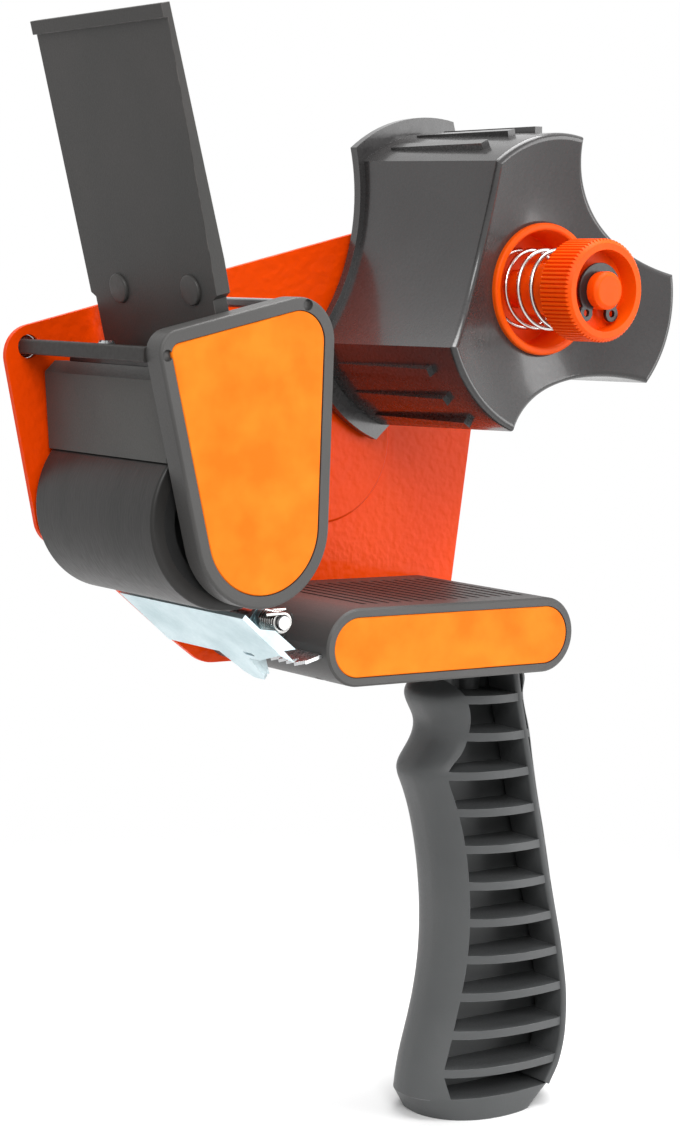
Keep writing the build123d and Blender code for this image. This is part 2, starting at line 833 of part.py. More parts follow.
with BuildPart() as tongue_screws:
    with BuildSketch(Plane.XY.offset(shelf_z + bracket_t)):
        with Locations(*[(foot_screw_x, y) for y in foot_screw_y]):
            Circle(foot_screw_head_r)
    extrude(amount=foot_screw_head_h)
    fillet(tongue_screws.edges().group_by(Axis.Z)[-1], 0.9)
    with BuildSketch(Plane.XY.offset(shelf_z + bracket_t)):
        with Locations(*[(foot_screw_x, y) for y in foot_screw_y]):
            Circle(foot_screw_r)
    extrude(amount=-bracket_t - block_wall - screw_tip)
    with BuildSketch(Plane.XY.offset(shelf_z + bracket_t + foot_screw_head_h)):
        with Locations(*[(foot_screw_x, y) for y in foot_screw_y]):
            Rectangle(0.7, 3.2)
            Rectangle(3.2, 0.7)
    extrude(amount=-1.0, mode=Mode.SUBTRACT)
save(tongue_screws.part, "tongue_screws")

# Blade guard: a sheet face on a tilted plane, with two ears on the pin
slope = radians(guard_slope)
guard_down = (cos(slope), -sin(slope))      # along its face, towards the housing
guard_in = (sin(slope), cos(slope))         # square to its face, towards the roller
face_plane = Plane(
    origin=(guard_x - guard_face * guard_in[0], 0, guard_z - guard_face * guard_in[1]),
    x_dir=(guard_down[0], 0, guard_down[1]),
    z_dir=(guard_in[0], 0, guard_in[1]),
)


def from_pin(along, inward):
    """Point of the guard's side view, measured along and square to its face from the pin."""
    return (
        guard_x + along * guard_down[0] + inward * guard_in[0],
        guard_z + along * guard_down[1] + inward * guard_in[1],
    )


with BuildPart() as blade_guard:
    with BuildSketch(face_plane):
        with BuildLine():
            Polyline(
                (-guard_front, -guard_half_w),
                (-guard_front, guard_half_w),
                (guard_rear, guard_half_w),
                (guard_rear, guard_tab_y + guard_tab_w / 2 + guard_corner),
                (guard_tab_reach - guard_corner, guard_tab_y + guard_tab_w / 2),
                (guard_tab_reach, guard_tab_y + guard_tab_w / 2 - guard_corner),
                (guard_tab_reach, guard_tab_y - guard_tab_w / 2 + guard_corner),
                (guard_tab_reach - guard_corner, guard_tab_y - guard_tab_w / 2),
                (guard_rear, guard_tab_y - guard_tab_w / 2 - guard_corner),
                (guard_rear, guard_near_cut[1] - guard_half_w),
                (guard_rear - guard_near_cut[0], -guard_half_w),
                close=True,
            )
        make_face()
        with Locations((guard_rear - guard_corner, guard_tab_y - guard_tab_w)):
            SlotOverall(guard_slot, guard_t, rotation=90, mode=Mode.SUBTRACT)
    extrude(amount=guard_t)
    for y in (guard_half_w, guard_t - guard_half_w):
        with BuildSketch(across(y)):
            with BuildLine():
                Polyline(
                    from_pin(-guard_front, -guard_face),
                    *[from_pin(*point) for point in guard_flange],
                    from_pin(guard_rear - guard_near_cut[0], -guard_face),
                    close=True,
                )
            make_face()
        extrude(amount=guard_t)
    for y in (guard_lug_y + guard_t, -guard_lug_y):
        with BuildSketch(across(y)):
            with BuildLine():
                Polyline(
                    from_pin(-guard_lug_r, -guard_face),
                    from_pin(-guard_lug_r, 0),
                    from_pin(guard_lug_r, 0),
                    from_pin(guard_lug_r, -guard_face),
                    close=True,
                )
            make_face()
            with Locations(guard_place):
                Circle(guard_lug_r)
                Circle(guard_pin_r + shaft_fit, mode=Mode.SUBTRACT)
        extrude(amount=guard_t)
    with BuildSketch(across(guard_t + guard_tab_y - guard_tab_w / 2)):
        with BuildLine():
            Polyline(*[from_pin(*point) for point in guard_fold], close=True)
        make_face()
    extrude(amount=guard_t)
save(blade_guard.part, "blade_guard")

# Torsion spring round the pin at the open side, a leg on the guard and a leg on the housing
coil_near_y = guard_t - guard_half_w + 2 * twist_wire_r
with BuildPart() as guard_spring:
    with BuildLine() as twist:
        Helix(
            pitch=twist_pitch,
            height=twist_pitch * twist_turns,
            radius=twist_r,
            center=(guard_x, coil_near_y, guard_z),
            direction=(0, 1, 0),
        )
    with BuildSketch(Plane(origin=twist.line @ 0, z_dir=twist.line % 0)):
        Circle(twist_wire_r)
    sweep()
    for end, way in ((0, -1), (1, 1)):
        with BuildSketch(Plane(origin=twist.line @ end, z_dir=twist.line % end)):
            Circle(twist_wire_r)
        extrude(amount=way * twist_leg)
save(guard_spring.part, "guard_spring")

with BuildPart() as guard_collar:
    with BuildSketch(turned(*guard_place)):
        with Locations((coil_near_y + twist_pitch * twist_turns + 2 * twist_wire_r, (collar_r + guard_pin_r) / 2)):
            Rectangle(collar_t, collar_r - guard_pin_r, align=(Align.MIN, Align.CENTER))
    revolve(axis=shaft(*guard_place))
save(guard_collar.part, "guard_collar")

# Serrated blade, seated in the housing's front and notched for the guard's tab
with BuildPart() as blade:
    with BuildSketch(blade_plane.offset(-blade_t / 2)):
        with Locations((blade_length / 2, -blade_mid_y)):
            Rectangle(blade_length, blade_width)
        with Locations((blade_notch / 2, -guard_tab_y)):
            Rectangle(blade_notch, blade_notch_w, mode=Mode.SUBTRACT)
        with Locations((0, -blade_mid_y)):
            with GridLocations(0, tooth_pitch, 1, int(blade_width / tooth_pitch) + 1):
                Polygon(
                    (-tooth_depth, -tooth_pitch),
                    (tooth_depth, 0),
                    (-tooth_depth, tooth_pitch),
                    align=None,
                    mode=Mode.SUBTRACT,
                )
        with Locations(*[(blade_screw_s, y) for y in blade_screw_y]):
            Circle(blade_screw_r, mode=Mode.SUBTRACT)
    extrude(amount=blade_t)
save(blade.part, "blade")

with BuildPart() as blade_screws:
    with BuildSketch(blade_plane.offset(-blade_t / 2)):
        with Locations(*[(blade_screw_s, y) for y in blade_screw_y]):
            Circle(blade_screw_r)
    extrude(amount=housing_r - housing_wall)
save(blade_screws.part, "blade_screws")


# Tape hub: three tapered arms with hollow sides, a dished nose and lobes at the plate
def arm_points(radius, waist):
    """Corners of the arms in order, each pair followed by the waist between two arms."""
    step = 360 / hub_arms
    rows = []
    for index in range(hub_arms):
        mid = hub_arm_turn + index * step
        rows.append((
            on_circle(radius, mid - hub_arm_half),
            on_circle(radius * 1.01, mid),
            on_circle(radius, mid + hub_arm_half),
            on_circle(waist, mid + step / 2),
        ))
    return rows


def arms_outline(radius, waist):
    """Outline of the arms: an arc over each tip and a hollow arc from arm to arm."""
    rows = arm_points(radius, waist)
    with BuildSketch(Plane.XY) as outline:
        with BuildLine():
            for index in range(hub_arms):
                start, crown, end, hollow = rows[index]
                ThreePointArc(start, crown, end)
                ThreePointArc(end, hollow, rows[(index + 1) % hub_arms][0])
        make_face()
    return outline.sketch


hub_length = hub_back_y - flange_t - hub_near_y
with BuildPart() as tape_hub:
    with BuildSketch(across(hub_back_y - flange_t)):
        with Locations(post_place):
            add(arms_outline(hub_back_r, hub_waist_back))
    with BuildSketch(across(hub_near_y)):
        with Locations(post_place):
            add(arms_outline(hub_near_r, hub_waist_near))
    loft()
    with BuildSketch(turned(*post_place)):
        with BuildLine():
            dish_rim = (hub_near_y, hub_near_r + hub_dish_over)
            dish_foot = (hub_near_y + hub_dish_depth, cup_r)
            dish_mid = ((dish_rim[0] + dish_foot[0]) / 2 + hub_dish_sag, (dish_rim[1] + dish_foot[1]) / 2)
            ThreePointArc(dish_rim, dish_mid, dish_foot)
            Polyline(dish_foot, (dish_foot[0], 0), (hub_near_y - 1, 0), (hub_near_y - 1, dish_rim[1]), dish_rim)
        make_face()
    revolve(axis=shaft(*post_place), mode=Mode.SUBTRACT)
    rim = tape_hub.edges().filter_by(lambda e: e.center().Y < hub_near_y + hub_dish_depth - 1)
    fillet(rim.filter_by(lambda e: e.length > 8), hub_edge_r)
    with BuildSketch(across(hub_back_y)):
        with Locations(post_place):
            add(arms_outline(flange_r, flange_waist))
    extrude(amount=flange_t)
    with BuildSketch(across(hub_back_y)):
        with Locations(post_place):
            add(arms_outline(hub_near_r - hub_wall, hub_waist_near - hub_wall))
    extrude(amount=hub_length + flange_t - hub_dish_depth - hub_wall, mode=Mode.SUBTRACT)
    with BuildSketch(across(hub_back_y)):
        with Locations(post_place):
            Circle(cup_r + 2)
    extrude(amount=hub_length + flange_t - hub_dish_depth)
    with BuildSketch(across(hub_back_y)):
        with Locations(post_place):
            Circle(cup_r)
    cup_back_y = hub_near_y + hub_dish_depth + cup_depth
    extrude(amount=hub_back_y - cup_back_y)
    with BuildSketch(across(cup_back_y)):
        with Locations(post_place):
            Circle(cup_r)
    extrude(amount=cup_depth, mode=Mode.SUBTRACT)
    with BuildSketch(across(hub_back_y)):
        with Locations(post_place):
            Circle(post_r + shaft_fit)
    extrude(amount=hub_length + flange_t, mode=Mode.SUBTRACT)
    for index in range(hub_arms):
        for fin in fin_angles:
            angle = hub_arm_turn + index * 360 / hub_arms + fin
            with BuildSketch(across(fin_start)):
                with Locations(post_place):
                    with PolarLocations(core_bore / 2 - 2.2, 1, start_angle=angle):
                        Rectangle(4.4, fin_w)
            extrude(amount=fin_length)
save(tape_hub.part, "tape_hub")

with BuildPart() as hub_cup:
    lip_y = hub_near_y + hub_dish_depth - cup_lip
    with BuildSketch(turned(*post_place)):
        with BuildLine():
            Polyline(
                (cup_back_y, post_r + shaft_fit),
                (cup_back_y, cup_r),
                (lip_y, cup_r),
                (lip_y, cup_r - cup_wall),
                (cup_back_y - cup_floor_t, cup_r - cup_wall - 0.6),
                (cup_back_y - cup_floor_t, post_r + shaft_fit),
                close=True,
            )
        make_face()
    revolve(axis=shaft(*post_place))
    chamfer(hub_cup.edges().group_by(Axis.Y)[0], 0.4)
save(hub_cup.part, "hub_cup")

# Post: bolted to the plate, threaded for the knob, with a cap beyond the circlip's groove
clip_y = knob_front_y + knob_recess_depth - 1.6
with BuildPart() as hub_post:
    with BuildSketch(turned(*post_place)):
        with BuildLine():
            Polyline(
                (plate_y, 0),
                (plate_y, post_foot_r),
                (plate_y - post_foot_t, post_foot_r),
                (plate_y - post_foot_t, post_r),
                (clip_y, post_r),
                (clip_y, post_r - post_groove),
                (clip_y - clip_t, post_r - post_groove),
                (clip_y - clip_t, post_r),
                (post_end_y + 0.8, post_r),
                (post_end_y, post_r - 0.8),
                (post_end_y, 0),
                close=True,
            )
        make_face()
    revolve(axis=shaft(*post_place))
    with BuildSketch(across(plate_y)):
        with Locations(post_place):
            Circle(post_bolt_r)
    extrude(amount=12.0, mode=Mode.SUBTRACT)
save(hub_post.part, "hub_post")

with BuildPart() as post_bolt:
    with BuildSketch(across(plate_y + plate_t)):
        with Locations(post_place):
            Circle(post_bolt_r)
    extrude(amount=plate_t + 11.0)
save(post_bolt.part, "post_bolt")

with BuildPart() as circlip:
    with BuildSketch(across(clip_y)):
        with Locations(post_place):
            Circle(clip_r)
            Circle(post_r - post_groove, mode=Mode.SUBTRACT)
            with BuildLine(mode=Mode.PRIVATE) as gap_line:
                Polyline(
                    (0, 0),
                    on_circle(2 * clip_r, -90 - clip_gap_angle / 2),
                    on_circle(2 * clip_r, -90 + clip_gap_angle / 2),
                    close=True,
                )
            add(make_face(gap_line.line, mode=Mode.PRIVATE), mode=Mode.SUBTRACT)
            for side in (-1, 1):
                ear = on_circle(clip_r + 0.2, -90 + side * (clip_gap_angle / 2 + 12))
                with Locations(ear):
                    Circle(lug_r)
                    Circle(lug_hole_r, mode=Mode.SUBTRACT)
            Circle(post_r - post_groove, mode=Mode.SUBTRACT)
    extrude(amount=clip_t)
save(circlip.part, "circlip")

with BuildPart() as tension_knob:
    with BuildSketch(turned(*post_place)):
        with BuildLine():
            inner_r = post_r + thread_gap
            Polyline(
                (knob_back_y + knob_boss_length, inner_r),
                (knob_back_y + knob_boss_length, knob_boss_r),
                (knob_back_y, knob_boss_r),
                (knob_back_y, knob_r - 1.2),
                (knob_back_y - 1.2, knob_r),
                (knob_front_y + 1.0, knob_r),
                (knob_front_y, knob_r - 1.0),
                (knob_front_y, knob_recess_r),
                (knob_front_y + knob_recess_depth, knob_recess_r - 0.3),
                (knob_front_y + knob_recess_depth, inner_r),
                close=True,
            )
        make_face()
    revolve(axis=shaft(*post_place))
    with BuildSketch(across(knob_back_y)):
        with Locations(post_place):
            with PolarLocations(knob_r, knob_flutes):
                Polygon(
                    (-knob_flute_depth, 0),
                    (knob_flute_w, -knob_flute_w),
                    (knob_flute_w, knob_flute_w),
                    align=None,
                )
    extrude(amount=knob_back_y - knob_front_y, mode=Mode.SUBTRACT)
save(tension_knob.part, "tension_knob")

with BuildPart() as thrust_washer:
    with BuildSketch(turned(*post_place)):
        with Locations((knob_back_y, (washer_r + knob_boss_r + shaft_fit) / 2)):
            Rectangle(washer_t, washer_r - knob_boss_r - shaft_fit, align=(Align.MIN, Align.CENTER))
    revolve(axis=shaft(*post_place))
save(thrust_washer.part, "thrust_washer")

spring_near_y = knob_back_y + washer_t + spring_wire_r
spring_far_y = cup_back_y - cup_floor_t - spring_wire_r
spring_length = spring_far_y - spring_near_y
with BuildPart() as tension_spring:
    with BuildLine() as coil:
        Helix(
            pitch=spring_length / spring_turns,
            height=spring_length,
            radius=spring_r,
            center=(hub_x, spring_near_y, hub_z),
            direction=(0, 1, 0),
        )
    with BuildSketch(Plane(origin=coil.line @ 0, z_dir=coil.line % 0)):
        Circle(spring_wire_r)
    sweep()
save(tension_spring.part, "tension_spring")

# Countersunk screws through the plate, into the housing and the two bars, and the cover's
with BuildPart() as plate_screws:
    kinds = (
        (plate_screw_places, plate_screw_r, plate_screw_head_r, plate_screw_reach),
        (bar_places, bar_screw_r, bar_screw_head_r, bar_screw_reach),
    )
    for places, shank, head, reach in kinds:
        for place in places:
            with BuildSketch(turned(*place)):
                with BuildLine():
                    Polyline(
                        (plate_y + plate_t, 0),
                        (plate_y + plate_t, head),
                        (plate_y + plate_t - head + shank, shank),
                        (plate_y - reach + screw_tip, shank),
                        (plate_y - reach + screw_tip, 0),
                        close=True,
                    )
                make_face()
            revolve(axis=shaft(*place))
save(plate_screws.part, "plate_screws")

with BuildPart() as cover_screws:
    for place in bar_places:
        with BuildSketch(across(cover_outer_y + inlay_depth)):
            with Locations(place):
                Circle(bar_screw_r)
        extrude(amount=inlay_depth - cover_depth - bar_screw_reach + screw_tip)
save(cover_screws.part, "cover_screws")
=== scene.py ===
# %% [markdown]
# Hand-held packing tape dispenser, dressed in Blender.
# The exact solids come from a CAD model that is loaded first and never moved. This
# script gives each of them the finish that the real piece has, and models again, with
# Blender's own tools, the pieces whose real shape is softer or finer than the solids.
# All lengths are in metres: +X runs back from the rubber roller to the tape hub, +Y from
# the open side to the steel side plate, and +Z is up.

# %% Load the frame
import bpy
import bmesh
import json
from math import cos, pi, radians, sin, tau
from mathutils import Matrix, Vector


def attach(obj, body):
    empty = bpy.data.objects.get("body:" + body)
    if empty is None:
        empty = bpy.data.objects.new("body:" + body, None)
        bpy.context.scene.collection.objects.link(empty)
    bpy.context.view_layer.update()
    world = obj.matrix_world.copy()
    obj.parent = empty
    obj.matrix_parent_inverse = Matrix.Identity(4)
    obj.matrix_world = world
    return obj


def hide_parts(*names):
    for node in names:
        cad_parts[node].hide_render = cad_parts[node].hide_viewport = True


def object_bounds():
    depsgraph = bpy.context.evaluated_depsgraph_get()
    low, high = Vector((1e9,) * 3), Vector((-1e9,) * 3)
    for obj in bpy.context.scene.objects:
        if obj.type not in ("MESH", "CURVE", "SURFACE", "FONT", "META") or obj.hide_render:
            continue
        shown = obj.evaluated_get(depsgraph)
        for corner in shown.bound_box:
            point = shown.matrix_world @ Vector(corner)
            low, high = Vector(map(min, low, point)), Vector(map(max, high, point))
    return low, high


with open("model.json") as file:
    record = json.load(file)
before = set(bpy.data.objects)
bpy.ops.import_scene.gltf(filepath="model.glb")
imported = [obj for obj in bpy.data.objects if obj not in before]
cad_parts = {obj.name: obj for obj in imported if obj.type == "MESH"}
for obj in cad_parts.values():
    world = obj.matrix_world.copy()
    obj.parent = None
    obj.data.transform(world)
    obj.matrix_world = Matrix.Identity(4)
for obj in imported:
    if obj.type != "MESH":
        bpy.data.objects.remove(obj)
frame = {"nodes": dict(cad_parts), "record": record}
cad_box = [list(corner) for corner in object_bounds()]
NODES = frame["nodes"]
MM = 0.001
print("CAD pieces:", len(NODES), "box:", cad_box)

# %% [markdown]
# The camera comes first, because every other choice is judged through it. Its place and
# lens were found by fitting straight edges and round rims of the object to the picture.
# A long lens far away flattens the object, as product photographs do. It could be aimed
# with a Track To constraint, but a plain matrix also holds the slight roll of the picture.

# %% Camera
CAMERA_PLACE = Vector((-0.39423, -0.45969, 0.13867))
CAMERA_AZIMUTH = radians(-37.13)
CAMERA_ELEVATION = radians(5.98)
CAMERA_ROLL = radians(1.97)
SENSOR_WIDTH = 36.0
LENS = 130.01

behind = Vector((
    sin(CAMERA_AZIMUTH) * cos(CAMERA_ELEVATION),
    -cos(CAMERA_AZIMUTH) * cos(CAMERA_ELEVATION),
    sin(CAMERA_ELEVATION),
))
level_right = (-behind).cross(Vector((0, 0, 1))).normalized()
level_up = level_right.cross(-behind)
right = cos(CAMERA_ROLL) * level_right + sin(CAMERA_ROLL) * level_up
up = cos(CAMERA_ROLL) * level_up - sin(CAMERA_ROLL) * level_right
camera_data = bpy.data.cameras.new("camera")
camera_data.sensor_fit = "HORIZONTAL"
camera_data.sensor_width = SENSOR_WIDTH
camera_data.lens = LENS
camera_data.clip_start = 0.01
camera = bpy.data.objects.new("camera", camera_data)
bpy.context.scene.collection.objects.link(camera)
turn = Matrix((right, up, behind)).transposed().to_4x4()
camera.matrix_world = Matrix.Translation(CAMERA_PLACE) @ turn
bpy.context.scene.camera = camera
print("camera at", tuple(round(v, 3) for v in CAMERA_PLACE))

# %% [markdown]
# The picture is a catalogue shot: white all round and very soft light. Here a pale floor
# lies under the grip, and three large area lamps stand round the object. The world shows
# white to the camera and to reflections, but lights the object only gently, so that dark
# plastic stays dark. Raising the lamps until the background burns out would be quicker,
# but it would wash out the orange.

# %% Floor, world and lamps
FLOOR_Z = cad_box[0][2]
WORLD_LIGHT = 0.50
FADE_START = 0.06            # the pale floor fades into white from here
FADE_END = 0.32

bpy.ops.object.select_all(action="DESELECT")
bpy.ops.mesh.primitive_plane_add(size=8.0, location=(0, 0, FLOOR_Z))
floor = bpy.context.object
floor.name = "floor"


def material(name):
    """New material with nodes: returns it, its node tree and its shader."""
    made = bpy.data.materials.new(name)
    made.use_nodes = True
    tree = made.node_tree
    return made, tree, tree.nodes["Principled BSDF"]


floor_material, floor_tree, floor_shader = material("pale_floor")
floor_shader.inputs["Base Color"].default_value = (0.96, 0.96, 0.96, 1)
floor_shader.inputs["Roughness"].default_value = 0.8
floor_shader.inputs["Specular IOR Level"].default_value = 0.05
floor_place = floor_tree.nodes.new("ShaderNodeTexCoord")
floor_far = floor_tree.nodes.new("ShaderNodeVectorMath")
floor_far.operation = "LENGTH"
floor_fade = floor_tree.nodes.new("ShaderNodeMapRange")
floor_fade.interpolation_type = "SMOOTHSTEP"
floor_fade.inputs["From Min"].default_value = FADE_START
floor_fade.inputs["From Max"].default_value = FADE_END
open_air = floor_tree.nodes.new("ShaderNodeBsdfTransparent")
floor_blend = floor_tree.nodes.new("ShaderNodeMixShader")
floor_out = floor_tree.nodes["Material Output"]
floor_tree.links.new(floor_place.outputs["Object"], floor_far.inputs[0])
floor_tree.links.new(floor_far.outputs["Value"], floor_fade.inputs["Value"])
floor_tree.links.new(floor_fade.outputs["Result"], floor_blend.inputs[0])
floor_tree.links.new(floor_shader.outputs[0], floor_blend.inputs[1])
floor_tree.links.new(open_air.outputs[0], floor_blend.inputs[2])
floor_tree.links.new(floor_blend.outputs[0], floor_out.inputs["Surface"])
floor.data.materials.append(floor_material)

world = bpy.data.worlds.new("studio")
world.use_nodes = True
bpy.context.scene.world = world
world_tree = world.node_tree
rays = world_tree.nodes.new("ShaderNodeLightPath")
seen = world_tree.nodes.new("ShaderNodeMath")
seen.operation = "ADD"
mirrored = world_tree.nodes.new("ShaderNodeMath")
mirrored.operation = "ADD"
world_tree.links.new(rays.outputs["Is Glossy Ray"], mirrored.inputs[0])
world_tree.links.new(rays.outputs["Is Transmission Ray"], mirrored.inputs[1])
world_tree.links.new(rays.outputs["Is Camera Ray"], seen.inputs[0])
world_tree.links.new(mirrored.outputs[0], seen.inputs[1])
strength = world_tree.nodes.new("ShaderNodeMapRange")
strength.inputs["To Min"].default_value = WORLD_LIGHT
strength.inputs["To Max"].default_value = 1.0
world_tree.links.new(seen.outputs[0], strength.inputs["Value"])
background = world_tree.nodes["Background"]
background.inputs["Color"].default_value = (1, 1, 1, 1)
world_tree.links.new(strength.outputs["Result"], background.inputs["Strength"])

bpy.context.scene.view_settings.view_transform = "Standard"

LOOK_AT = Vector((-0.045, 0, 0.07))


def lamp(name, place, width, height, power):
    """Soft area lamp that looks at the middle of the object."""
    data = bpy.data.lights.new(name, "AREA")
    data.shape = "RECTANGLE"
    data.size = width
    data.size_y = height
    data.energy = power
    made = bpy.data.objects.new(name, data)
    bpy.context.scene.collection.objects.link(made)
    made.location = place
    made.rotation_euler = (Vector(place) - LOOK_AT).to_track_quat("Z", "Y").to_euler()
    return made


lamp("key", (-0.7, -1.1, 0.9), 0.7, 0.7, 12.5)
lamp("side", (0.9, -0.9, 0.25), 0.5, 1.2, 8.0)
lamp("top", (0.15, 0.0, 1.1), 0.9, 0.6, 14.0)

# %% [markdown]
# Finishes. Each one is a small node network: a main colour that drifts a little between
# two close tones, a fine grain that only moves the surface normal, and a roughness that
# varies with the same noise. Image textures would be quicker, but noise on Object
# coordinates has no seams and stays with the piece when it moves.

# %% Tools for finishes
def tone(tree, shader, first, second, scale, detail=3.0, stretch=(1, 1, 1)):
    """Colour that drifts between two tones over a distance of about 1 / scale."""
    place = tree.nodes.new("ShaderNodeTexCoord")
    size = tree.nodes.new("ShaderNodeMapping")
    size.inputs["Scale"].default_value = stretch
    noise = tree.nodes.new("ShaderNodeTexNoise")
    noise.inputs["Scale"].default_value = scale
    noise.inputs["Detail"].default_value = detail
    ramp = tree.nodes.new("ShaderNodeValToRGB")
    ramp.color_ramp.elements[0].position = 0.35
    ramp.color_ramp.elements[0].color = (*first, 1)
    ramp.color_ramp.elements[1].position = 0.65
    ramp.color_ramp.elements[1].color = (*second, 1)
    tree.links.new(place.outputs["Object"], size.inputs["Vector"])
    tree.links.new(size.outputs["Vector"], noise.inputs["Vector"])
    tree.links.new(noise.outputs["Fac"], ramp.inputs["Fac"])
    tree.links.new(ramp.outputs["Color"], shader.inputs["Base Color"])
    return ramp


def grain(tree, shader, scale, depth, detail=2.0, stretch=(1, 1, 1), rough=None, before=None):
    """Fine bump of a given depth in metres, and a roughness that follows it."""
    place = tree.nodes.new("ShaderNodeTexCoord")
    size = tree.nodes.new("ShaderNodeMapping")
    size.inputs["Scale"].default_value = stretch
    noise = tree.nodes.new("ShaderNodeTexNoise")
    noise.inputs["Scale"].default_value = scale
    noise.inputs["Detail"].default_value = detail
    bump = tree.nodes.new("ShaderNodeBump")
    bump.inputs["Distance"].default_value = depth
    tree.links.new(place.outputs["Object"], size.inputs["Vector"])
    tree.links.new(size.outputs["Vector"], noise.inputs["Vector"])
    tree.links.new(noise.outputs["Fac"], bump.inputs["Height"])
    if before:
        tree.links.new(before.outputs["Normal"], bump.inputs["Normal"])
    tree.links.new(bump.outputs["Normal"], shader.inputs["Normal"])
    if rough:
        spread = tree.nodes.new("ShaderNodeMapRange")
        spread.inputs["From Min"].default_value = 0.3
        spread.inputs["From Max"].default_value = 0.7
        spread.inputs["To Min"].default_value = rough[0]
        spread.inputs["To Max"].default_value = rough[1]
        tree.links.new(noise.outputs["Fac"], spread.inputs["Value"])
        tree.links.new(spread.outputs["Result"], shader.inputs["Roughness"])
    return bump


# %% [markdown]
# Moulded plastics. The real mouldings are glass-filled nylon: dark warm grey with a very
# fine spark-eroded grain. The hub is the same colour but polished, so it mirrors the
# lamps. The orange pieces are coloured right through.

# %% Plastic finishes
EDGE_HIGHLIGHT_SCALE = 260.0           # patches of the painted edge highlight are 3 or 4 mm long
LIT_EDGE_TWIN = {}                    # lighter twin of a finish for the rounded edges: a painted highlight


def plastic(name, first, second, rough, grain_scale, grain_depth, drift=35.0, coat=0.0, edge_highlight_lift=1.0, shine=0.35):
    """Moulded plastic, and a twin of it that is lighter on the rounded edges: a painted highlight."""
    for key, lift in ((name, 1.0), (name + "_edge", edge_highlight_lift)):
        made, tree, shader = material(key)
        patches = drift if key == name else EDGE_HIGHLIGHT_SCALE
        tone(tree, shader, first, [lift * c for c in second], patches)
        grain(tree, shader, grain_scale, grain_depth, rough=rough)
        shader.inputs["Specular IOR Level"].default_value = shine
        shader.inputs["Coat Weight"].default_value = coat
        shader.inputs["Coat Roughness"].default_value = 0.12
        if key == name:
            finish = made
        else:
            LIT_EDGE_TWIN[name] = made
    return finish


FINISH = {}
FINISH["grey_moulding"] = plastic(
    "grey_moulding", (0.063, 0.061, 0.059), (0.078, 0.076, 0.074), (0.40, 0.52), 2600, 0.00003, edge_highlight_lift=3.2)
FINISH["grip_moulding"] = plastic(
    "grip_moulding", (0.067, 0.070, 0.071), (0.081, 0.084, 0.085), (0.40, 0.52), 2400, 0.00003, edge_highlight_lift=3.2)
FINISH["dark_moulding"] = plastic(
    "dark_moulding", (0.056, 0.055, 0.052), (0.073, 0.072, 0.068), (0.42, 0.55), 2400, 0.00003, edge_highlight_lift=1.6)
FINISH["hub_plastic"] = plastic(
    "hub_plastic", (0.035, 0.033, 0.033), (0.044, 0.043, 0.043), (0.24, 0.32), 900, 0.00001, coat=0.5, edge_highlight_lift=2.2)
FINISH["tongue_plastic"] = plastic(
    "tongue_plastic", (0.034, 0.033, 0.031), (0.043, 0.040, 0.038), (0.42, 0.52), 2600, 0.00003, edge_highlight_lift=2.2)
FINISH["orange_inlay"] = plastic(
    "orange_inlay", (1.0, 0.180, 0.002), (1.0, 0.245, 0.010), (0.5, 0.6), 1600, 0.00002, drift=90.0, shine=0.15)
FINISH["orange_plastic"] = plastic(
    "orange_plastic", (0.95, 0.085, 0.001), (1.0, 0.110, 0.001), (0.40, 0.50), 1500, 0.00002, shine=0.15)
FINISH["bush_moulding"] = plastic(
    "bush_moulding", (0.30, 0.29, 0.26), (0.35, 0.34, 0.31), (0.4, 0.5), 1800, 0.00002)
print("plastics:", len(FINISH))

# %% [markdown]
# Painted steel. Powder coat cures with a slight orange peel: soft dimples two or three
# millimetres across under a clear gloss. The dimples are what breaks up the long
# reflections on the side plate, so they are a bump and not a colour.

# %% Paint finishes
def paint(name, first, second, rough, peel, depth, coat, shine=0.3):
    made, tree, shader = material(name)
    tone(tree, shader, first, second, 12.0)
    grain(tree, shader, peel, depth, detail=1.5, rough=rough)
    shader.inputs["Specular IOR Level"].default_value = shine
    shader.inputs["Coat Weight"].default_value = coat
    shader.inputs["Coat Roughness"].default_value = 0.06
    return made


FINISH["orange_paint"] = paint(
    "orange_paint", (0.93, 0.058, 0.0), (1.0, 0.078, 0.0), (0.30, 0.40), 420, 0.00034, 0.05,
    shine=0.08)
FINISH["dark_bar"] = paint("dark_bar", (0.022, 0.020, 0.019), (0.030, 0.028, 0.026), (0.45, 0.55), 900, 0.00003, 0.0)
FINISH["rivet_steel"] = paint("rivet_steel", (0.050, 0.048, 0.046), (0.062, 0.059, 0.056), (0.35, 0.45), 900, 0.00003, 0.0)
FINISH["black_steel"] = paint("black_steel", (0.012, 0.012, 0.012), (0.02, 0.02, 0.02), (0.3, 0.4), 1200, 0.00002, 0.2)

# %% [markdown]
# Bare and plated metals. Zinc plate with a blue chromate is pale and slightly cloudy;
# spring wire is drawn, so its scratches run along it; the blade is ground.

# %% Metal finishes
def metal(name, first, second, rough, drift, grain_scale, grain_depth, stretch=(1, 1, 1)):
    made, tree, shader = material(name)
    shader.inputs["Metallic"].default_value = 1.0
    tone(tree, shader, first, second, drift)
    grain(tree, shader, grain_scale, grain_depth, stretch=stretch, rough=rough)
    return made


